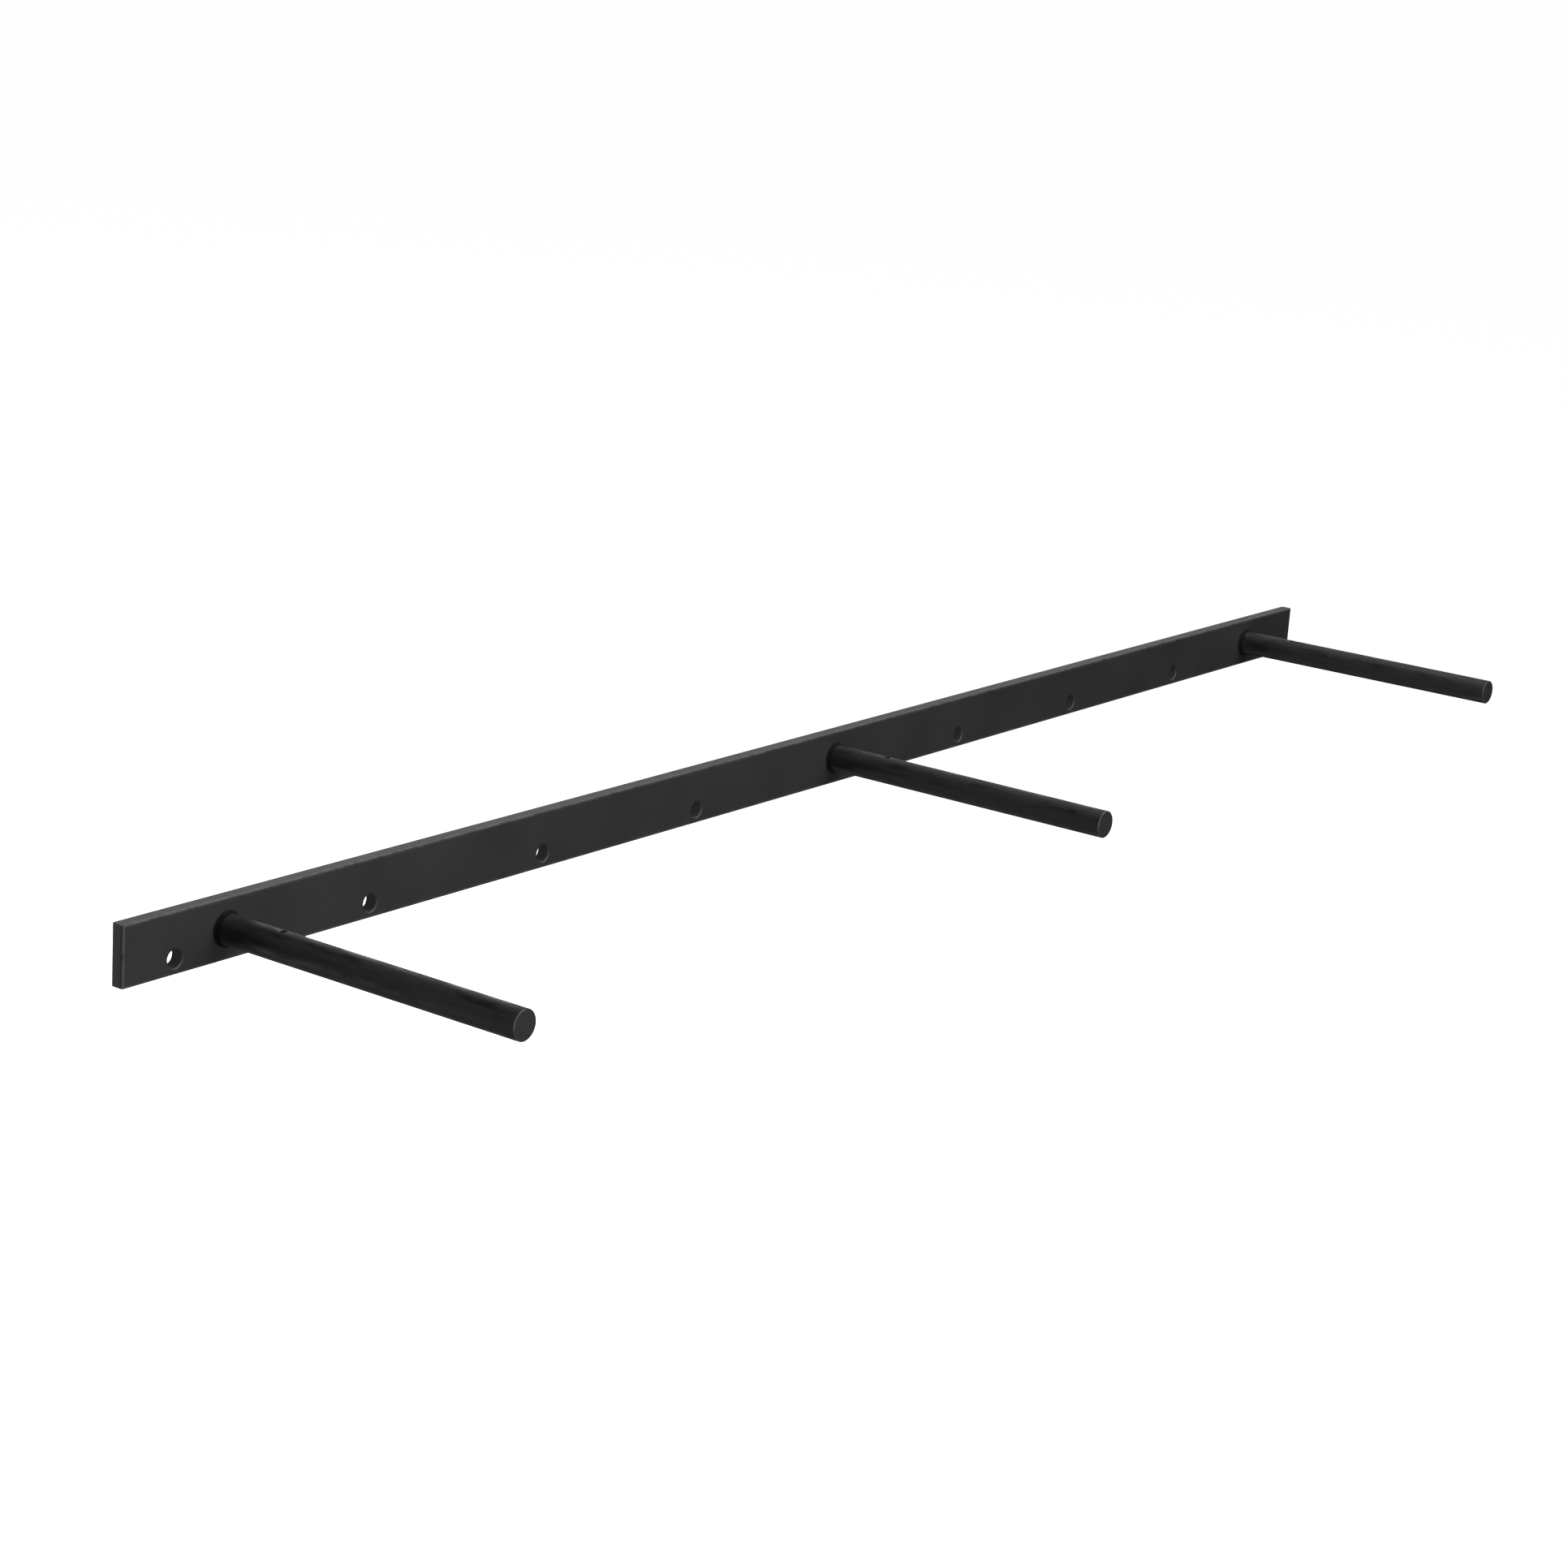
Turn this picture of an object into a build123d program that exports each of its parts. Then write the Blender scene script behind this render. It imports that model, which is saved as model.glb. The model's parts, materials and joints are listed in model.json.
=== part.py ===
from build123d import *
import os

# Blind bracket for a floating shelf: a flat steel wall bar with round steel rods welded in.
# Sizes are in millimetres. The origin is the middle of the bar's back face, which lies on the
# wall. X runs along the bar, +Y goes into the wall and +Z is up, so the rods stand out along -Y.

# Wall bar: a length of flat bar
bar_length = 1371.6
bar_height = 38.1
bar_thickness = 9.525
bar_corner_round = 2.0
bar_edge_round = 0.8

# Rods: round bar, one at the middle and one near each end, each with a spigot through the bar
rod_names = ("left", "middle", "right")
rod_diameter = 19.05
rod_projection = 228.6
rod_end_margin = 81.0
rod_tip_chamfer = 0.5
rod_shoulder_width = 2.5
spigot_clearance = 0.05

# Locking hole: takes a screw from the shelf's face, down through the rod
lock_hole_diameter = 4.8
lock_hole_chamfer = 0.8
lock_hole_distance = 45.0

# Wall screw holes: even places along the bar, without the place that the middle rod takes
screw_hole_diameter = 11.1
screw_hole_chamfer = 0.9
screw_hole_end_margin = 40.5
screw_hole_above_edge = 9.525
screw_hole_gaps = 8
screw_hole_min_web = 3.0

# Front weld: fills a bevel on each rod's shoulder and stands proud as a fillet round the rod
front_weld_bar_leg = 1.6
front_weld_rod_leg = 3.2
front_weld_bevel = 1.2
front_weld_throat_sag = 0.25

# Rear weld: fills a bevel round each spigot and covers its end, ground flush with the bar
rear_weld_bevel = 3.0
rear_weld_cap = 1.5

# Worked out from the driving sizes
rod_radius = rod_diameter / 2
spigot_radius = rod_radius - rod_shoulder_width
seat_radius = spigot_radius + spigot_clearance
bar_front_y = -bar_thickness
rod_tip_y = bar_front_y - rod_projection
rod_pitch = (bar_length - 2 * rod_end_margin) / (len(rod_names) - 1)
rod_places = [rod_end_margin - bar_length / 2 + i * rod_pitch for i in range(len(rod_names))]
screw_hole_radius = screw_hole_diameter / 2
screw_hole_z = screw_hole_above_edge - bar_height / 2
screw_hole_pitch = (bar_length - 2 * screw_hole_end_margin) / screw_hole_gaps


def screw_hole_places():
    """X of every wall screw hole: the even places that no rod or weld takes."""
    front_reach = rod_radius + front_weld_bar_leg
    rear_reach = seat_radius + rear_weld_bevel
    hole_reach = screw_hole_radius + screw_hole_chamfer
    taken = max(front_reach, rear_reach) + hole_reach + screw_hole_min_web
    first = screw_hole_end_margin - bar_length / 2
    places = [first + i * screw_hole_pitch for i in range(screw_hole_gaps + 1)]
    return [x for x in places if min(abs(x - rod_x) for rod_x in rod_places) > taken]


def ring_about_y(outline, x):
    """A solid turned about a rod's axis from its outline, given as (radius, y) points."""
    section = make_face(Polyline(*outline, close=True))
    return Pos(x, 0, 0) * revolve(section, Axis.Y)


def chamfered_screw_hole(x):
    """The tool that cuts one wall screw hole, with a chamfer at each face."""
    past = screw_hole_chamfer
    wide = screw_hole_radius + screw_hole_chamfer
    outline = (
        (0, past),
        (wide + past, past),
        (screw_hole_radius, -screw_hole_chamfer),
        (screw_hole_radius, bar_front_y + screw_hole_chamfer),
        (wide + past, bar_front_y - past),
        (0, bar_front_y - past),
    )
    return Pos(0, 0, screw_hole_z) * ring_about_y(outline, x)


def rod_seat(x):
    """The tool that cuts a spigot's seat: a through bore with a weld bevel at the back."""
    past = rear_weld_bevel
    outline = (
        (0, past),
        (seat_radius + rear_weld_bevel + past, past),
        (seat_radius, -rear_weld_bevel),
        (seat_radius, bar_front_y - past),
        (0, bar_front_y - past),
    )
    return ring_about_y(outline, x)


def make_back_bar():
    """Flat bar with rounded edges, the rods' seats and the wall screw holes."""
    bar = Pos(0, -bar_thickness / 2, 0) * Box(bar_length, bar_thickness, bar_height)
    bar = fillet(bar.edges().filter_by(Axis.Z), bar_corner_round)
    rims = bar.faces().filter_by(Axis.Z).edges()
    bar = fillet(rims, bar_edge_round)
    for x in rod_places:
        bar -= rod_seat(x)
    for x in screw_hole_places():
        bar -= chamfered_screw_hole(x)
    return bar


def lock_hole(x):
    """The tool that cuts a rod's cross hole for the locking screw, with a chamfer at each mouth."""
    radius = lock_hole_diameter / 2
    past = lock_hole_chamfer
    wide = radius + lock_hole_chamfer + past
    half = rod_radius + past
    outline = (
        (0, half),
        (wide, half),
        (radius, rod_radius - lock_hole_chamfer),
        (radius, lock_hole_chamfer - rod_radius),
        (wide, -half),
        (0, -half),
    )
    upright = Rot(90, 0, 0) * ring_about_y(outline, 0)
    return Pos(x, bar_front_y - lock_hole_distance, 0) * upright


def make_rod(x):
    """Round bar: spigot, bevelled shoulder against the bar, shank, tip and locking hole."""
    outline = (
        (0, -rear_weld_cap),
        (spigot_radius, -rear_weld_cap),
        (spigot_radius, bar_front_y),
        (rod_radius - front_weld_bevel, bar_front_y),
        (rod_radius, bar_front_y - front_weld_rod_leg),
        (rod_radius, rod_tip_y + rod_tip_chamfer),
        (rod_radius - rod_tip_chamfer, rod_tip_y),
        (0, rod_tip_y),
    )
    return ring_about_y(outline, x) - lock_hole(x)


def make_front_weld(x):
    """Weld between the bar's front face and the rod's bevel, with a slightly hollow face."""
    at_rod = (rod_radius, bar_front_y - front_weld_rod_leg)
    at_bar = (rod_radius + front_weld_bar_leg, bar_front_y)
    root = (rod_radius - front_weld_bevel, bar_front_y)
    inward = Vector(-front_weld_rod_leg, front_weld_bar_leg).normalized()
    belly = Line(at_bar, at_rod) @ 0.5 + inward * front_weld_throat_sag
    hollow = ThreePointArc(at_bar, belly, at_rod)
    section = make_face(Polyline(at_rod, root, at_bar) + hollow)
    return Pos(x, 0, 0) * revolve(section, Axis.Y)


def make_rear_weld(x):
    """Weld ground flush with the bar's back: it fills the bevel and covers the spigot's end."""
    outline = (
        (0, 0),
        (seat_radius + rear_weld_bevel, 0),
        (seat_radius, -rear_weld_bevel),
        (spigot_radius, -rear_weld_bevel),
        (spigot_radius, -rear_weld_cap),
        (0, -rear_weld_cap),
    )
    return ring_about_y(outline, x)


def write(shape, node):
    """One STEP file per node, named after the node."""
    export_step(shape, f"parts/{node}.step")


os.makedirs("parts", exist_ok=True)
write(make_back_bar(), "back_bar")
for name, rod_x in zip(rod_names, rod_places):
    write(make_rod(rod_x), f"rod_{name}")
    write(make_front_weld(rod_x), f"front_weld_{name}")
    write(make_rear_weld(rod_x), f"rear_weld_{name}")
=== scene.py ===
import json
import math

import bmesh
import bpy
from mathutils import Matrix, Vector


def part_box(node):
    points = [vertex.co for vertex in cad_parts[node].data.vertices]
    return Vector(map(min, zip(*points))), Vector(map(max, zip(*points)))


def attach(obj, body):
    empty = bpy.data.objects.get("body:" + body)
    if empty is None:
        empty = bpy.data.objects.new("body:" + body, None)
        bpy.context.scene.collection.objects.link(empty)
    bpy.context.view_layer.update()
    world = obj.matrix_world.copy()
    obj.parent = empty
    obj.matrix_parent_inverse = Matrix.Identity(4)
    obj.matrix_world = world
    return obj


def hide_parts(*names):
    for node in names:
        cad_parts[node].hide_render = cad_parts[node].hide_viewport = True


# Looks of a blind bracket for a floating shelf: a flat wall bar with three round rods welded in.
# Everything is in metres. X runs along the bar, +Y goes into the wall and +Z is up.

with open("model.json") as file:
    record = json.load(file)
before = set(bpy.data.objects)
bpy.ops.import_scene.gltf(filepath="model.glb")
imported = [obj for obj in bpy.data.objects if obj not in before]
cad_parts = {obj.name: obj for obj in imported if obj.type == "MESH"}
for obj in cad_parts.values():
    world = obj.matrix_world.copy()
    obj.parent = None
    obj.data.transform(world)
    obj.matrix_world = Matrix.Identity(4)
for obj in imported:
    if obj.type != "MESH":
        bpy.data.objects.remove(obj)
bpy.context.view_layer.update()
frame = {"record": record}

MM = 0.001
BODY = "root"
ROD_NAMES = ("left", "middle", "right")

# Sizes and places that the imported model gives
bar_low, bar_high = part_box("back_bar")
bar_height = bar_high.z - bar_low.z
bar_front = bar_low.y
bar_back = bar_high.y
mounts = {mount["name"]: mount for mount in frame["record"]["mounts"]}
rod_radius = mounts["shelf_rod_middle"]["dims"]["r_mm"] * MM
rod_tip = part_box("rod_middle")[0].y
rod_places = {name: mounts[f"shelf_rod_{name}"]["pos_m"][0] for name in ROD_NAMES}
lock_hole_radius = mounts["lock_hole_middle"]["dims"]["r_mm"] * MM
lock_hole_y = mounts["lock_hole_middle"]["pos_m"][1]
screw_pairs = [mount for name, mount in mounts.items() if name.startswith("wall_screws")]
screw_hole_radius = screw_pairs[0]["dims"]["hole_r_mm"] * MM
screw_hole_z = screw_pairs[0]["pos_m"][2]
screw_places = sorted(
    side * pair["dims"]["spacing_x_mm"] / 2 * MM for pair in screw_pairs for side in (-1, 1)
)
weld_low, weld_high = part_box("front_weld_middle")
weld_toe = weld_low.y
weld_radius = (weld_high.x - weld_low.x) / 2
plug_low, plug_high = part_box("rear_weld_middle")
plug_radius = (plug_high.x - plug_low.x) / 2
spigot_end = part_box("rod_middle")[1].y

# Finishing sizes of the same pieces
BAR_CORNER_ROUND = 2.0 * MM
BAR_EDGE_ROUND = 0.8 * MM
SCREW_HOLE_CHAMFER = 0.9 * MM
CHAMFER_SOFTENING = 0.12 * MM
LOCK_HOLE_CHAMFER = 0.8 * MM
ROD_TIP_CHAMFER = 0.5 * MM
SHOULDER_BEVEL = 1.2 * MM
SEAT_BEVEL = 3.0 * MM
SPIGOT_CLEARANCE = 0.05 * MM
WELD_SAG = 0.25 * MM
WELD_RIPPLE = 0.06 * MM
WELD_RIPPLES = 38
PLUG_RIM = 0.2 * MM

# Greys, roughness and wear of the black coats; the wear also paints highlights on edges and rims, and the
# weld greys paint shade
BAR_DARK = 0.009
BAR_LIGHT = 0.08
BAR_ROUGHNESS = 0.59
ROD_DARK = 0.002
ROD_LIGHT = 0.08
ROD_ROUGHNESS = 0.6
# Weld greys kept darker than the coat alone: painted shade of the hollow between bar and rod
WELD_DARK_WITH_SHADE = 0.001
WELD_LIGHT_WITH_SHADE = 0.006
BEAD_ROUGHNESS = 0.7
GROUND_ROUGHNESS = 0.55
# Widths of the lighter bands on edges and rims: worn coat, and painted highlights on the bar's rounds, the
# tip chamfers and the locking holes' mouths
EDGE_WEAR_AND_HIGHLIGHT_WIDTH = 2.4 * MM
EDGE_WEAR_AND_HIGHLIGHT_CORE = 0.2 * MM
RIM_WEAR_AND_HIGHLIGHT_OUTER = 0.9 * MM
RIM_WEAR_AND_HIGHLIGHT_INNER = 0.5 * MM
MOUTH_WEAR_AND_HIGHLIGHT_INNER = 0.2 * MM

# How much each layer counts in a coat's grey
BAR_CLOUD_GREY = 0.09
BAR_GRIT_GREY = 0.06
# Painted highlight as well as wear: lightens the bar's rounded edges
BAR_WEAR_AND_HIGHLIGHT_GREY = 0.45
ROD_DRAWN_GREY = 0.05
ROD_CLOUD_GREY = 0.05
ROD_SCUFF_GREY = 0.35
# Painted highlight as well as wear: lightens the tip chamfers and the locking holes' mouths
ROD_WEAR_AND_HIGHLIGHT_GREY = 0.55
ROD_END_GREY = 0.17

# How much each layer counts in a coat's roughness
BAR_STREAK_ROUGHNESS = 0.16
BAR_WEAR_SHINE = 0.08
BORE_DULLNESS = 0.3
ROD_CLOUD_ROUGHNESS = 0.17
ROD_END_ROUGHNESS = 0.2
ROD_DRAWN_ROUGHNESS = 0.18
ROD_WEAR_SHINE = 0.12

# Noise that is drawn out in one direction: how fine it is along X, Y and Z
BAR_DRAWN_GRAIN = (9, 520, 520)
ROD_DRAWN_GRAIN = (260, 14, 260)
ROD_CLOUD_GRAIN = (190, 48, 190)
ROD_SCUFF_GRAIN = (420, 150, 420)
GRINDING_GRAIN = (140, 1, 1500)

# Depth of the relief in the coats
BAR_PEEL_DEPTH = 0.006 * MM
BAR_DRAWN_DEPTH = 0.012 * MM
ROD_CLOUD_DEPTH = 0.13 * MM
ROD_DRAWN_DEPTH = 0.03 * MM
ROD_PEEL_DEPTH = 0.012 * MM
GRIT_DEPTH = 0.003 * MM
BEAD_LUMP_DEPTH = 0.05 * MM
BEAD_GRIT_DEPTH = 0.006 * MM
GROUND_LUMP_DEPTH = 0.03 * MM
GRINDING_DEPTH = 0.02 * MM

# How finely the shapes are divided
ROD_SIDES = 128
HOLE_SIDES = 72
RIPPLE_STEPS = 8
BEAD_STEPS = 10
CELL_MARGIN = 4 * MM
PAST = 1 * MM
SNAP = 0.01 * MM
MERGE = 0.001 * MM
ROUND_SHADING = 32

seat_radius = plug_radius - SEAT_BEVEL
spigot_radius = seat_radius - SPIGOT_CLEARANCE


# ---------------------------------------------------------------- modelling helpers


def deselect_all():
    """Nothing selected, so that the next operator acts on the new piece alone."""
    if bpy.context.object and bpy.context.object.mode != "OBJECT":
        bpy.ops.object.mode_set(mode="OBJECT")
    bpy.ops.object.select_all(action="DESELECT")


def pick(piece):
    """The piece alone is selected and active."""
    deselect_all()
    piece.select_set(True)
    bpy.context.view_layer.objects.active = piece


def open_new(name):
    """Names the primitive that was just added and opens it in edit mode."""
    piece = bpy.context.object
    piece.name = name
    piece.data.name = name
    bpy.ops.object.transform_apply(location=True, rotation=True, scale=True)
    bpy.ops.object.mode_set(mode="EDIT")
    return piece


def choose(kind, wanted):
    """In edit mode, selects the faces, edges or vertices for which wanted() is true."""
    bpy.ops.mesh.select_mode(type=kind)
    bpy.ops.mesh.select_all(action="DESELECT")
    mesh = bmesh.from_edit_mesh(bpy.context.object.data)
    items = {"FACE": mesh.faces, "EDGE": mesh.edges, "VERT": mesh.verts}[kind]
    for item in items:
        item.select = bool(wanted(item))
    mesh.select_flush_mode()
    bmesh.update_edit_mesh(bpy.context.object.data)


def close_edit():
    """Merges doubles, turns every face outwards and leaves edit mode."""
    bpy.ops.mesh.select_all(action="SELECT")
    bpy.ops.mesh.remove_doubles(threshold=MERGE)
    bpy.ops.mesh.normals_make_consistent(inside=False)
    bpy.ops.object.mode_set(mode="OBJECT")


def turned(name, x, z, rings, sides, filled=True):
    """A shape turned about an axis along Y: a circle, extruded and resized from ring to ring.

    A filled circle gives a solid. An open one gives a hollow ring, whose last ring meets its first.
    """
    deselect_all()
    radius, y = rings[0]
    bpy.ops.mesh.primitive_circle_add(
        vertices=sides,
        radius=radius,
        fill_type="NGON" if filled else "NOTHING",
        location=(x, y, z),
        rotation=(math.pi / 2, 0, 0),
    )
    piece = open_new(name)
    bpy.ops.mesh.select_all(action="SELECT")
    for next_radius, next_y in rings[1:]:
        bpy.ops.mesh.extrude_region_move(TRANSFORM_OT_translate={"value": (0, next_y - y, 0)})
        grow = next_radius / radius
        bpy.ops.transform.resize(value=(grow, 1, grow), center_override=(x, next_y, z))
        radius, y = next_radius, next_y
    close_edit()
    return piece


def cut_away(piece, cutter):
    """Cuts the cutter's shape out of the piece and removes the cutter."""
    pick(piece)
    cut = piece.modifiers.new("cut", "BOOLEAN")
    cut.operation = "DIFFERENCE"
    cut.solver = "EXACT"
    cut.object = cutter
    bpy.ops.object.modifier_apply(modifier=cut.name)
    bpy.data.objects.remove(cutter)


def divide(piece, places, axis):
    """Cuts edge loops into the piece, square to an axis, without opening it."""
    pick(piece)
    bpy.ops.object.mode_set(mode="EDIT")
    for place in places:
        bpy.ops.mesh.select_all(action="SELECT")
        bpy.ops.mesh.bisect(plane_co=axis * place, plane_no=axis)
    bpy.ops.object.mode_set(mode="OBJECT")


def smooth(piece):
    """Smooth shading over rounds, with flat faces kept flat right up to them."""
    pick(piece)
    bpy.ops.object.shade_smooth_by_angle(angle=math.radians(ROUND_SHADING))
    even = piece.modifiers.new("even", "WEIGHTED_NORMAL")
    even.keep_sharp = True
    bpy.ops.object.modifier_apply(modifier=even.name)


def fit_out(piece, node, coat):
    """Gives the piece its coat and puts it on its body, in place of its CAD node."""
    piece.data.materials.clear()
    piece.data.materials.append(coat)
    for spare in list(piece.data.uv_layers):
        piece.data.uv_layers.remove(spare)
    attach(piece, BODY)
    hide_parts(node)


# ---------------------------------------------------------------- pieces


def chamfered_mouth(radius, face_y, inward, size):
    """Rings of a hole's chamfered mouth, its two rims softened, from outside the face to the bore."""
    soft = CHAMFER_SOFTENING
    return [
        (radius + size + soft, face_y - inward * PAST),
        (radius + size + soft, face_y),
        (radius + size + 0.3 * soft, face_y + inward * 0.3 * soft),
        (radius + size - 0.7 * soft, face_y + inward * soft),
        (radius + 0.7 * soft, face_y + inward * (size - soft)),
        (radius + 0.2 * soft, face_y + inward * (size - 0.2 * soft)),
        (radius, face_y + inward * (size + soft)),
    ]


def screw_hole(x):
    """The tool that bores one wall screw hole, chamfered at each face."""
    back = chamfered_mouth(screw_hole_radius, bar_back, -1, SCREW_HOLE_CHAMFER)
    front = chamfered_mouth(screw_hole_radius, bar_front, 1, SCREW_HOLE_CHAMFER)
    return turned("cutter", x, screw_hole_z, back + front[::-1], HOLE_SIDES)


def rod_seat(x):
    """The tool that bores a spigot's seat, with the rear weld's bevel."""
    rings = [
        (plug_radius, bar_back + PAST),
        (plug_radius, bar_back),
        (seat_radius, bar_back - SEAT_BEVEL),
        (seat_radius, bar_front - PAST),
    ]
    return turned("cutter", x, 0, rings, ROD_SIDES)


def wall_bar(coat):
    """Flat bar with rounded ends and edges, the rods' seats and the wall screw holes."""
    deselect_all()
    middle = (bar_low + bar_high) / 2
    bpy.ops.mesh.primitive_cube_add(size=1, location=middle, scale=bar_high - bar_low)
    bar = open_new("wall_bar")
    choose("EDGE", lambda e: abs((e.verts[0].co - e.verts[1].co).z) > bar_height / 2)
    bpy.ops.mesh.bevel(offset=BAR_CORNER_ROUND, segments=8, affect="EDGES")
    choose("EDGE", lambda e: abs(sum(v.co.z for v in e.verts)) > bar_height - SNAP)
    bpy.ops.mesh.bevel(offset=BAR_EDGE_ROUND, segments=5, affect="EDGES")
    close_edit()
    cells = [(x, rod_radius) for x in rod_places.values()]
    cells += [(x, screw_hole_radius) for x in screw_places]
    sides = [x + side * (radius + CELL_MARGIN) for x, radius in cells for side in (-1, 1)]
    divide(bar, sorted(sides), Vector((1, 0, 0)))
    for x in screw_places:
        cut_away(bar, screw_hole(x))
    for x in rod_places.values():
        cut_away(bar, rod_seat(x))
    smooth(bar)
    fit_out(bar, "back_bar", coat)


def lock_hole(x):
    """The tool that bores a rod's locking hole, chamfered at both mouths, upright."""
    wide = lock_hole_radius + LOCK_HOLE_CHAMFER + PAST
    half = rod_radius + PAST
    bore = rod_radius - LOCK_HOLE_CHAMFER
    rings = [(wide, -half), (lock_hole_radius, -bore), (lock_hole_radius, bore), (wide, half)]
    cutter = turned("cutter", 0, 0, rings, HOLE_SIDES)
    pick(cutter)
    bpy.ops.transform.rotate(value=math.pi / 2, orient_axis="X", center_override=(0, 0, 0))
    bpy.ops.transform.translate(value=(x, lock_hole_y, 0))
    bpy.ops.object.transform_apply(location=True, rotation=True, scale=True)
    return cutter


def shelf_rod(name, coat):
    """Round rod: spigot, bevelled shoulder, shank, chamfered tip and the locking hole."""
    x = rod_places[name]
    reach = lock_hole_radius + LOCK_HOLE_CHAMFER + CELL_MARGIN
    rings = [
        (spigot_radius, spigot_end),
        (spigot_radius, bar_front),
        (rod_radius - SHOULDER_BEVEL, bar_front),
        (rod_radius, weld_toe),
        (rod_radius, lock_hole_y + reach),
        (rod_radius, lock_hole_y - reach),
        (rod_radius, rod_tip + ROD_TIP_CHAMFER),
        (rod_radius - ROD_TIP_CHAMFER, rod_tip),
    ]
    rod = turned(f"shelf_rod_{name}", x, 0, rings, ROD_SIDES)
    bpy.ops.object.mode_set(mode="EDIT")
    chamfer = (rod_tip, rod_tip + ROD_TIP_CHAMFER)

    def on_chamfer_rim(edge):
        first, second = (v.co.y for v in edge.verts)
        level = abs(first - second) < SNAP
        return level and min(abs(first - y) for y in chamfer) < SNAP

    choose("EDGE", on_chamfer_rim)
    bpy.ops.mesh.bevel(offset=CHAMFER_SOFTENING, segments=3, affect="EDGES")
    close_edit()
    cut_away(rod, lock_hole(x))
    smooth(rod)
    fit_out(rod, f"rod_{name}", coat)


def bead_face():
    """Rings of the weld's slightly hollow face, from the bar to the rod."""
    at_bar = Vector((weld_radius, bar_front))
    at_rod = Vector((rod_radius, weld_toe))
    along = at_rod - at_bar
    inward = Vector((along.y, -along.x)).normalized()
    rings = []
    for step in range(BEAD_STEPS + 1):
        share = step / BEAD_STEPS
        rings.append(tuple(at_bar + along * share + inward * WELD_SAG * math.sin(math.pi * share)))
    return rings


def foot_weld(name, coat):
    """Fillet weld round the rod's foot, with the overlapping ripples of a bead run by hand."""
    x = rod_places[name]
    root = (rod_radius - SHOULDER_BEVEL, bar_front)
    rings = [root, *bead_face(), root]
    weld = turned(f"foot_weld_{name}", x, 0, rings, WELD_RIPPLES * RIPPLE_STEPS, filled=False)
    bpy.ops.object.mode_set(mode="EDIT")
    leg = bar_front - weld_toe
    for step in range(1, RIPPLE_STEPS):

        def on_ripple(vert, step=step):
            share = (bar_front - vert.co.y) / leg
            if share < 0.1 or share > 0.9:
                return False
            turn = math.atan2(vert.co.z, vert.co.x - x) / (2 * math.pi) * WELD_RIPPLES
            lag = 2.2 * (share - 0.5) ** 2
            return round((turn + lag) * RIPPLE_STEPS) % RIPPLE_STEPS == step

        choose("VERT", on_ripple)
        bpy.ops.transform.shrink_fatten(value=WELD_RIPPLE * math.sin(math.pi / 2 * step / RIPPLE_STEPS))
    close_edit()
    smooth(weld)
    fit_out(weld, f"front_weld_{name}", coat)


def rear_plug(name, coat):
    """Weld that fills the bevel at the back and covers the spigot, ground flush with the bar."""
    x = rod_places[name]
    rings = [
        (seat_radius, bar_back - SEAT_BEVEL),
        (plug_radius - PLUG_RIM, bar_back - PLUG_RIM),
        (plug_radius - 2 * PLUG_RIM, bar_back),
    ]
    plug = turned(f"rear_weld_{name}_plug", x, 0, rings, ROD_SIDES)
    smooth(plug)
    fit_out(plug, f"rear_weld_{name}", coat)


# ---------------------------------------------------------------- finishes


def node(tree, kind, sockets=(), **settings):
    """Adds a node, sets it up and feeds its sockets, each from another node's output or as a number."""
    made = tree.nodes.new(f"ShaderNode{kind}")
    for name, value in settings.items():
        setattr(made, name, value)
    for socket, value in dict(sockets).items():
        if isinstance(value, bpy.types.NodeSocket):
            tree.links.new(value, made.inputs[socket])
        else:
            made.inputs[socket].default_value = value
    return made


def new_coat(name, specular):
    """A new black coat: its node tree and its shader."""
    material = bpy.data.materials.new(name)
    material.use_nodes = True
    shader = material.node_tree.nodes["Principled BSDF"]
    shader.inputs["Specular IOR Level"].default_value = specular
    return material, material.node_tree, shader


def place(tree):
    """Where a point lies on the bracket, in metres."""
    return node(tree, "TexCoord").outputs["Object"]


def apart(tree, vector):
    """The three parts of a vector."""
    return node(tree, "SeparateXYZ", {0: vector}).outputs


def maths(tree, operation, first, second=0.0):
    """One sum."""
    return node(tree, "Math", {0: first, 1: second}, operation=operation).outputs[0]


def graded(tree, value, low, high, to_low=0.0, to_high=1.0):
    """Runs smoothly from one value to another while the input goes from low to high."""
    sockets = {"Value": value, "From Min": low, "From Max": high, "To Min": to_low, "To Max": to_high}
    return node(tree, "MapRange", sockets, interpolation_type="SMOOTHSTEP").outputs["Result"]


def speckle(tree, vector, scale, detail=2.0, stretch=(1, 1, 1)):
    """Noise, drawn out along the directions where stretch is small."""
    drawn = node(tree, "Mapping", {"Vector": vector, "Scale": stretch}).outputs["Vector"]
    return node(tree, "TexNoise", {"Vector": drawn, "Scale": scale, "Detail": detail}).outputs["Fac"]


def shaded(tree, shader, amount, dark, light):
    """Colours the coat from dark to light grey, as amount goes from 0 to 1."""
    ramp = node(tree, "ValToRGB", {"Fac": amount})
    ramp.color_ramp.elements[0].color = (dark, dark, dark, 1)
    ramp.color_ramp.elements[1].color = (light, light, light, 1)
    tree.links.new(ramp.outputs["Color"], shader.inputs["Base Color"])


def pressed(tree, shader, layers):
    """Stacks relief on the surface: each layer has a height map and its depth in metres."""
    normal = None
    for height, depth in layers:
        sockets = {"Height": height, "Distance": depth, "Strength": 1.0}
        if normal:
            sockets["Normal"] = normal
        normal = node(tree, "Bump", sockets).outputs["Normal"]
    tree.links.new(normal, shader.inputs["Normal"])


def from_nearest(tree, across, pitch):
    """How far a point is from the nearest of many axes that stand one pitch apart."""
    return maths(tree, "PINGPONG", across, pitch / 2)


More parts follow.
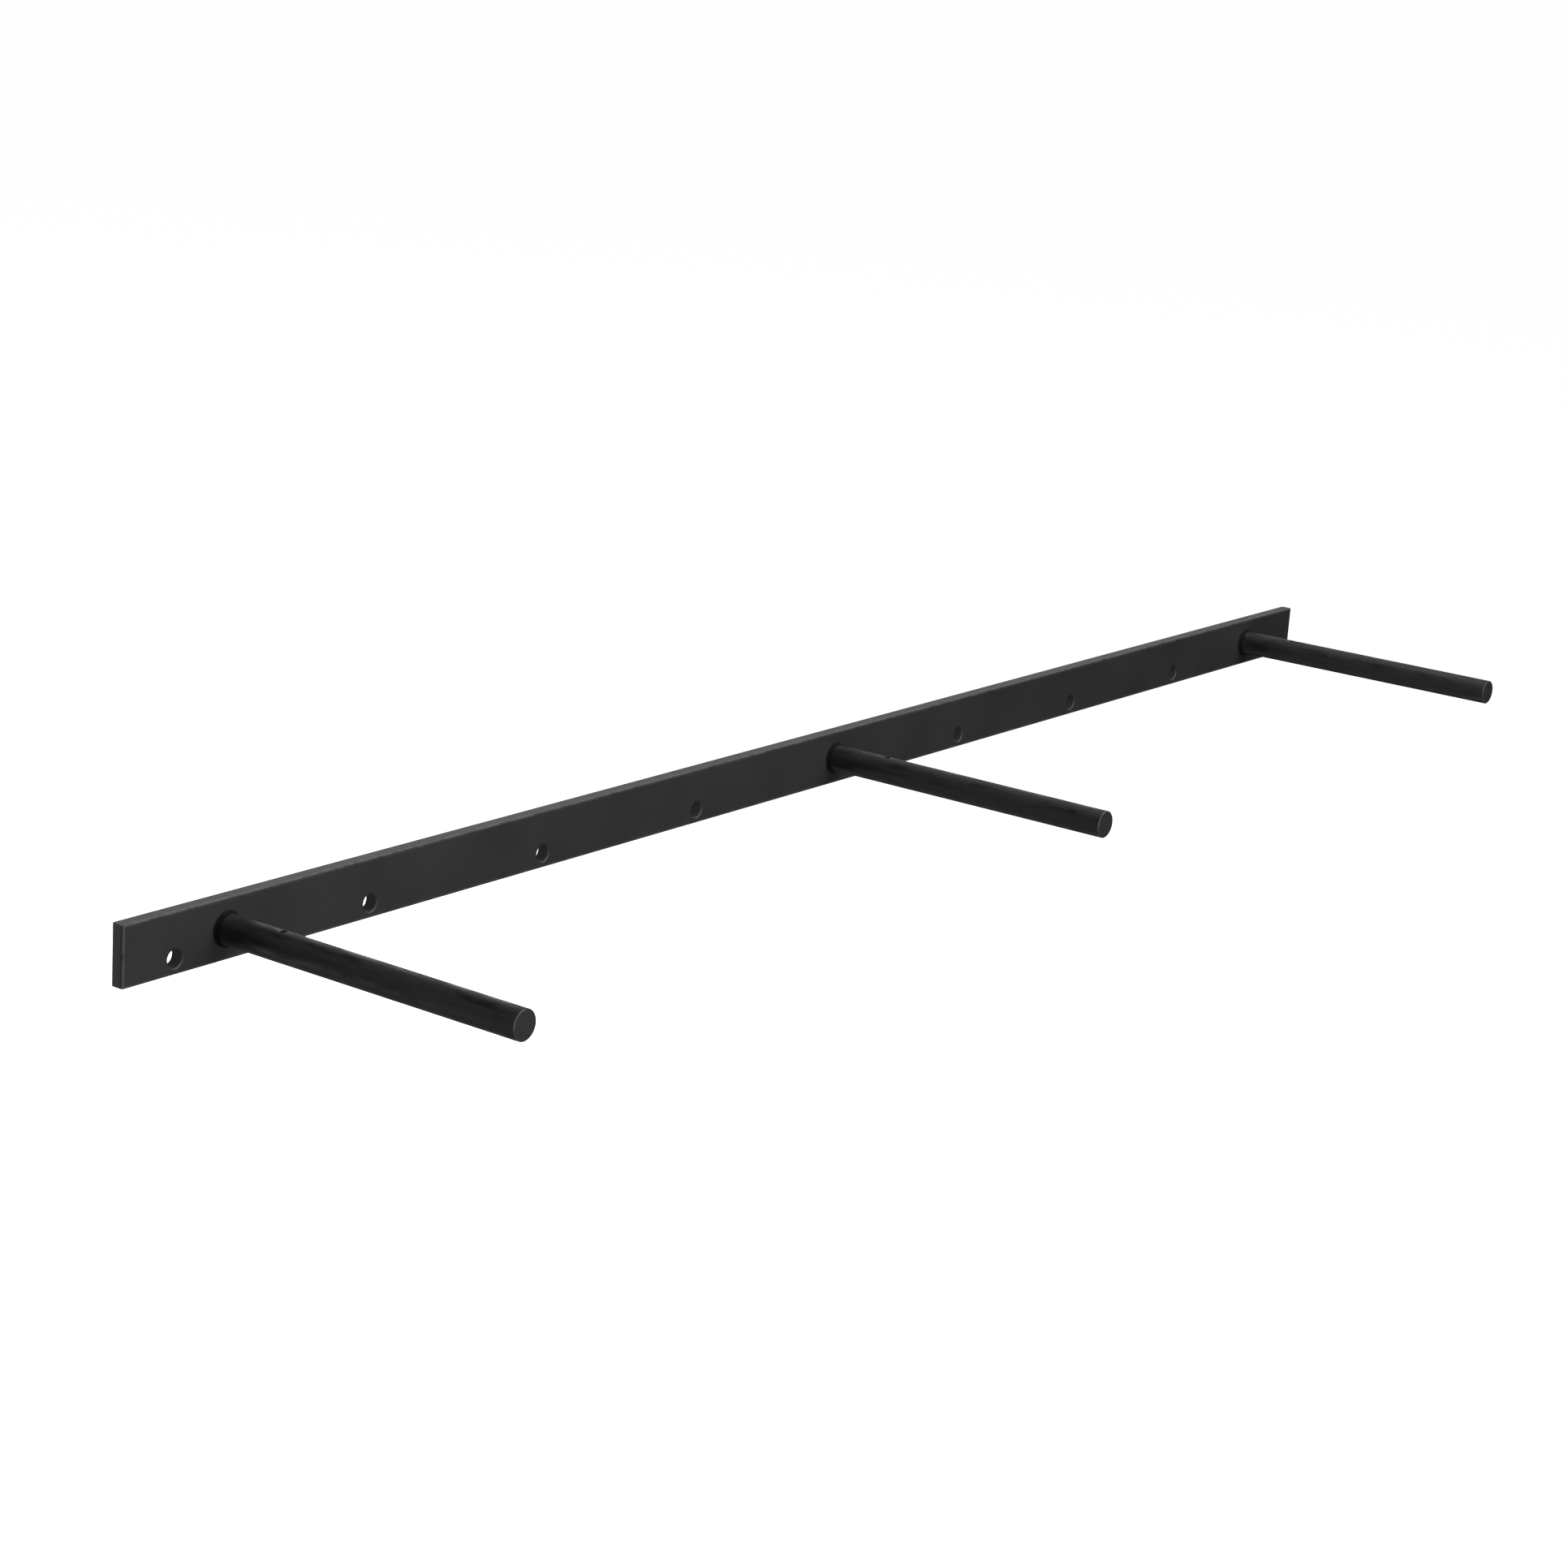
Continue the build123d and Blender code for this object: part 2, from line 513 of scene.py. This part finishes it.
def ring_distance(tree, first, second):
    """How far a point is from an axis, from its two distances across it."""
    first_square = maths(tree, "MULTIPLY", first, first)
    second_square = maths(tree, "MULTIPLY", second, second)
    return maths(tree, "SQRT", maths(tree, "ADD", first_square, second_square))


def bar_edge_wear_and_highlight(tree, spot):
    """1 on the bar's outer edges, fading to 0 a little way in on each face: worn coat there, and a painted
    highlight along the rounds.
    """
    thickness = bar_back - bar_front
    middle = (bar_back + bar_front) / 2
    end = maths(tree, "SUBTRACT", bar_high.x, maths(tree, "ABSOLUTE", spot["X"]))
    rim = maths(tree, "SUBTRACT", bar_height / 2, maths(tree, "ABSOLUTE", spot["Z"]))
    depth = maths(tree, "ABSOLUTE", maths(tree, "SUBTRACT", spot["Y"], middle))
    face = maths(tree, "SUBTRACT", thickness / 2, depth)
    nearer = maths(tree, "MINIMUM", end, rim)
    farther = maths(tree, "MAXIMUM", end, rim)
    second_nearest = maths(tree, "MAXIMUM", nearer, maths(tree, "MINIMUM", farther, face))
    return graded(tree, second_nearest, EDGE_WEAR_AND_HIGHLIGHT_WIDTH, EDGE_WEAR_AND_HIGHLIGHT_CORE)


def black_bar_coat():
    """Satin black coat on flat bar: even in the faces, drawn lengthwise on the rims, worn thinner and
    lighter on the edges, which also paints a highlight along the rounds.
    """
    material, tree, shader = new_coat("black coat on the bar", 0.5)
    here = place(tree)
    spot = apart(tree, here)
    upright = apart(tree, node(tree, "TexCoord").outputs["Normal"])
    on_rim = graded(tree, maths(tree, "ABSOLUTE", upright["Z"]), 0.75, 0.95)
    drawn = speckle(tree, here, 1, 4, BAR_DRAWN_GRAIN)
    on_rim_drawn = maths(tree, "MULTIPLY", drawn, on_rim)
    cloud = speckle(tree, here, 22, 4)
    grit = speckle(tree, here, 900, 3)
    patches = graded(tree, speckle(tree, here, 160, 3), 0.2, 0.6)
    # Painted highlight: the edge mask lightens the rounded edges, standing in for their highlight as well as
    # for worn coat
    wear_and_highlight = maths(tree, "MULTIPLY", bar_edge_wear_and_highlight(tree, spot), patches)
    cloud_grey = maths(tree, "MULTIPLY", cloud, BAR_CLOUD_GREY)
    grit_grey = maths(tree, "MULTIPLY", grit, BAR_GRIT_GREY)
    wear_and_highlight_grey = maths(tree, "MULTIPLY", wear_and_highlight, BAR_WEAR_AND_HIGHLIGHT_GREY)
    grey = maths(tree, "ADD", maths(tree, "ADD", cloud_grey, grit_grey), wear_and_highlight_grey)
    shaded(tree, shader, grey, BAR_DARK, BAR_LIGHT)
    base = graded(tree, cloud, 0.25, 0.75, BAR_ROUGHNESS - 0.02, BAR_ROUGHNESS + 0.03)
    streaks = maths(tree, "MULTIPLY", maths(tree, "SUBTRACT", on_rim_drawn, 0.25), BAR_STREAK_ROUGHNESS)
    streaked = maths(tree, "ADD", base, streaks)
    worn_and_highlit = maths(tree, "SUBTRACT", streaked, maths(tree, "MULTIPLY", wear_and_highlight, BAR_WEAR_SHINE))
    across = from_nearest(tree, spot["X"], screw_places[1] - screw_places[0])
    reach = ring_distance(tree, across, maths(tree, "SUBTRACT", spot["Z"], screw_hole_z))
    in_bore = graded(tree, reach, screw_hole_radius + 0.25 * MM, screw_hole_radius + 0.05 * MM)
    off_middle = graded(tree, maths(tree, "ABSOLUTE", spot["X"]), 2 * rod_radius, 4 * rod_radius)
    bored = maths(tree, "MULTIPLY", in_bore, off_middle)
    duller = maths(tree, "ADD", worn_and_highlit, maths(tree, "MULTIPLY", bored, BORE_DULLNESS))
    tree.links.new(duller, shader.inputs["Roughness"])
    pressed(tree, shader, [
        (speckle(tree, here, 420, 2), BAR_PEEL_DEPTH),
        (grit, GRIT_DEPTH),
        (on_rim_drawn, BAR_DRAWN_DEPTH),
    ])
    return material


def rod_rim_wear_and_highlight(tree, spot, across):
    """1 on a rod's tip rim and round the mouths of its locking hole, and 0 elsewhere: worn coat there, and a
    painted highlight on the chamfers.
    """
    reach = ring_distance(tree, across, spot["Z"])
    on_rim = graded(tree, reach, rod_radius - RIM_WEAR_AND_HIGHLIGHT_OUTER, rod_radius - RIM_WEAR_AND_HIGHLIGHT_INNER)
    at_tip = graded(tree, spot["Y"], rod_tip + RIM_WEAR_AND_HIGHLIGHT_OUTER, rod_tip + RIM_WEAR_AND_HIGHLIGHT_INNER)
    along = maths(tree, "SUBTRACT", spot["Y"], lock_hole_y)
    from_hole = ring_distance(tree, across, along)
    mouth = lock_hole_radius + LOCK_HOLE_CHAMFER
    at_hole = graded(tree, from_hole, mouth + RIM_WEAR_AND_HIGHLIGHT_OUTER, mouth + MOUTH_WEAR_AND_HIGHLIGHT_INNER)
    outside = graded(tree, from_hole, lock_hole_radius, lock_hole_radius + MOUTH_WEAR_AND_HIGHLIGHT_INNER)
    tip_rim = maths(tree, "MULTIPLY", on_rim, at_tip)
    return maths(tree, "ADD", tip_rim, maths(tree, "MULTIPLY", at_hole, outside))


def black_rod_coat():
    """Thin black coat on drawn round bar, with lengthwise draw marks, scuffs from handling and worn rims,
    whose lighter grey also paints a highlight on the tip chamfers and the locking holes' mouths.
    """
    material, tree, shader = new_coat("black coat on the rods", 0.5)
    here = place(tree)
    spot = apart(tree, here)
    across = from_nearest(tree, spot["X"], rod_places["right"] - rod_places["middle"])
    patches = graded(tree, speckle(tree, here, 240, 3), 0.32, 0.6)
    # Painted highlight: the rim mask lightens the tip chamfers and the locking hole's mouths, standing in
    # for their glints as well as for worn coat
    wear_and_highlight = maths(tree, "MULTIPLY", rod_rim_wear_and_highlight(tree, spot, across), patches)
    end_face = graded(tree, spot["Y"], rod_tip + 0.1 * MM, rod_tip + 0.02 * MM)
    side = graded(tree, spot["Y"], rod_tip + 0.02 * MM, rod_tip + 0.1 * MM)
    drawn = maths(tree, "MULTIPLY", speckle(tree, here, 1, 5, ROD_DRAWN_GRAIN), side)
    cloud = maths(tree, "MULTIPLY", speckle(tree, here, 1, 4, ROD_CLOUD_GRAIN), side)
    grit = speckle(tree, here, 1100, 3)
    scuff = graded(tree, speckle(tree, here, 1, 6, ROD_SCUFF_GRAIN), 0.70, 0.78)
    drawn_grey = maths(tree, "MULTIPLY", drawn, ROD_DRAWN_GREY)
    cloud_grey = maths(tree, "MULTIPLY", cloud, ROD_CLOUD_GREY)
    scuff_grey = maths(tree, "MULTIPLY", scuff, ROD_SCUFF_GREY)
    wear_and_highlight_grey = maths(tree, "MULTIPLY", wear_and_highlight, ROD_WEAR_AND_HIGHLIGHT_GREY)
    end_grey = maths(tree, "MULTIPLY", end_face, ROD_END_GREY)
    marks = maths(tree, "ADD", drawn_grey, cloud_grey)
    worn_and_highlit = maths(tree, "ADD", scuff_grey, wear_and_highlight_grey)
    faced = maths(tree, "ADD", worn_and_highlit, end_grey)
    shaded(tree, shader, maths(tree, "ADD", marks, faced), ROD_DARK, ROD_LIGHT)
    smoothest = ROD_ROUGHNESS - ROD_CLOUD_ROUGHNESS
    roughest = ROD_ROUGHNESS + ROD_CLOUD_ROUGHNESS
    base = graded(tree, cloud, 0.3, 0.7, smoothest, roughest)
    evened = maths(tree, "ADD", base, maths(tree, "MULTIPLY", end_face, ROD_END_ROUGHNESS))
    streaks = maths(tree, "MULTIPLY", maths(tree, "SUBTRACT", drawn, 0.5), ROD_DRAWN_ROUGHNESS)
    streaked = maths(tree, "ADD", evened, streaks)
    rubbed = maths(tree, "SUBTRACT", streaked, maths(tree, "MULTIPLY", wear_and_highlight, ROD_WEAR_SHINE))
    tree.links.new(rubbed, shader.inputs["Roughness"])
    pressed(tree, shader, [
        (cloud, ROD_CLOUD_DEPTH),
        (drawn, ROD_DRAWN_DEPTH),
        (speckle(tree, here, 300, 2), ROD_PEEL_DEPTH),
        (grit, GRIT_DEPTH),
    ])
    return material


def black_bead_coat():
    """Dull black coat on the beads round the rods' feet: uneven, with fine spatter under it, its greys
    darker than the other coats as painted shade of the hollow between bar and rod.
    """
    material, tree, shader = new_coat("black coat on the weld beads", 0.08)
    here = place(tree)
    lumps = speckle(tree, here, 260, 4)
    grit = speckle(tree, here, 1300, 3)
    # Painted shade: the bead's greys are kept darker than the other coats, standing in for the shade where
    # bar and rod meet
    shaded(tree, shader, lumps, WELD_DARK_WITH_SHADE, WELD_LIGHT_WITH_SHADE)
    rough = graded(tree, lumps, 0.3, 0.7, BEAD_ROUGHNESS - 0.06, BEAD_ROUGHNESS + 0.06)
    tree.links.new(rough, shader.inputs["Roughness"])
    pressed(tree, shader, [
        (lumps, BEAD_LUMP_DEPTH),
        (grit, BEAD_GRIT_DEPTH),
    ])
    return material


def black_ground_weld_coat():
    """Black coat over the rear welds, where the grinder's marks still show through."""
    material, tree, shader = new_coat("black coat on the ground welds", 0.4)
    here = place(tree)
    ground = speckle(tree, here, 1, 4, GRINDING_GRAIN)
    lumps = speckle(tree, here, 180, 4)
    tone = maths(tree, "ADD", maths(tree, "MULTIPLY", lumps, 0.5), maths(tree, "MULTIPLY", ground, 0.5))
    shaded(tree, shader, tone, 2 * WELD_DARK_WITH_SHADE, 2 * WELD_LIGHT_WITH_SHADE)
    rough = graded(tree, ground, 0.3, 0.7, GROUND_ROUGHNESS - 0.08, GROUND_ROUGHNESS + 0.06)
    tree.links.new(rough, shader.inputs["Roughness"])
    pressed(tree, shader, [
        (lumps, GROUND_LUMP_DEPTH),
        (ground, GRINDING_DEPTH),
    ])
    return material


bar_coat = black_bar_coat()
rod_coat = black_rod_coat()
bead_coat = black_bead_coat()
ground_weld_coat = black_ground_weld_coat()

wall_bar(bar_coat)
for rod_name in ROD_NAMES:
    shelf_rod(rod_name, rod_coat)
    foot_weld(rod_name, bead_coat)
    rear_plug(rod_name, ground_weld_coat)


# ---------------------------------------------------------------- floor, light and camera


FLOOR_SIZE = 400
FLOOR_DROP = 0.9
FLOOR_GREY = (0.9, 0.9, 0.9, 1)
FLOOR_ROUGHNESS = 0.9
FLOOR_GLOW = 0.99


def pale_floor():
    """A pale floor below the bracket, lit from within like a light table."""
    deselect_all()
    bpy.ops.mesh.primitive_plane_add(size=FLOOR_SIZE, location=(0, 0, -FLOOR_DROP))
    floor = bpy.context.object
    floor.name = "floor"
    material = bpy.data.materials.new("pale floor")
    material.use_nodes = True
    shader = material.node_tree.nodes["Principled BSDF"]
    shader.inputs["Base Color"].default_value = FLOOR_GREY
    shader.inputs["Roughness"].default_value = FLOOR_ROUGHNESS
    shader.inputs["Emission Color"].default_value = (1, 1, 1, 1)
    shader.inputs["Emission Strength"].default_value = FLOOR_GLOW
    floor.data.materials.append(material)
    floor.visible_diffuse = False
    floor.visible_glossy = False
    floor.visible_shadow = False


# Softboxes round the bracket: name, degrees round from the front, degrees up, width, watts
SOFTBOXES = (
    ("front left", -20, 10, 3.0, 64),
    ("key", 12, 45, 2.0, 50),
    ("front right high", 60, 45, 1.4, 7),
    ("overhead", 90, 70, 1.4, 27),
    ("back right", 150, 10, 1.4, 20),
    ("back left", -150, 10, 1.4, 15),
    ("back left low", -150, -20, 1.4, 12),
    ("left", -85, -8, 1.4, 2.5),
    ("right", 120, 10, 1.4, 10),
    ("floor bounce", 0, -85, 2.0, 13),
    ("floor bounce behind", 180, -60, 2.0, 3),
)
SOFTBOX_DISTANCE = 2.6


def softbox(name, round_angle, up_angle, width, watts):
    """A square soft lamp that looks at the bracket's middle."""
    lamp = bpy.data.lights.new(name, "AREA")
    lamp.size = width
    lamp.energy = watts
    holder = bpy.data.objects.new(name, lamp)
    bpy.context.scene.collection.objects.link(holder)
    turn, rise = math.radians(round_angle), math.radians(up_angle)
    out = Vector((
        math.sin(turn) * math.cos(rise),
        -math.cos(turn) * math.cos(rise),
        math.sin(rise),
    ))
    holder.location = out * SOFTBOX_DISTANCE
    holder.rotation_euler = (-out).to_track_quat("-Z", "Y").to_euler()
    holder.visible_camera = False


def studio_air():
    """White that the camera alone sees behind the bracket. It throws no light on it."""
    world = bpy.data.worlds.new("studio")
    bpy.context.scene.world = world
    world.use_nodes = True
    nodes, links = world.node_tree.nodes, world.node_tree.links
    nodes.clear()
    out = nodes.new("ShaderNodeOutputWorld")
    mix = nodes.new("ShaderNodeMixShader")
    path = nodes.new("ShaderNodeLightPath")
    unlit = nodes.new("ShaderNodeBackground")
    white = nodes.new("ShaderNodeBackground")
    unlit.inputs["Strength"].default_value = 0.0
    white.inputs["Color"].default_value = (1, 1, 1, 1)
    links.new(path.outputs["Is Camera Ray"], mix.inputs["Fac"])
    links.new(unlit.outputs["Background"], mix.inputs[1])
    links.new(white.outputs["Background"], mix.inputs[2])
    links.new(mix.outputs["Shader"], out.inputs["Surface"])


CAMERA_LENS = 77.45
CAMERA_PLACE = (-1.93547, -1.35333, 0.60997)
CAMERA_YAW = 54.368
CAMERA_PITCH = -15.026
CAMERA_ROLL = 3.885


def camera():
    """The camera to the left of the bracket, a little above it, with a slight roll."""
    data = bpy.data.cameras.new("camera")
    data.lens = CAMERA_LENS
    data.sensor_width = 36
    data.clip_end = 1000
    holder = bpy.data.objects.new("camera", data)
    bpy.context.scene.collection.objects.link(holder)
    yaw, pitch, roll = (math.radians(turn) for turn in (CAMERA_YAW, CAMERA_PITCH, CAMERA_ROLL))
    ahead = Vector((
        math.sin(yaw) * math.cos(pitch),
        math.cos(yaw) * math.cos(pitch),
        math.sin(pitch),
    ))
    holder.location = CAMERA_PLACE
    level = ahead.to_track_quat("-Z", "Y")
    holder.rotation_mode = "QUATERNION"
    holder.rotation_quaternion = level @ Matrix.Rotation(roll, 4, "Z").to_quaternion()
    bpy.context.scene.camera = holder


pale_floor()
for box in SOFTBOXES:
    softbox(*box)
studio_air()
camera()
bpy.context.scene.view_settings.view_transform = "Standard"
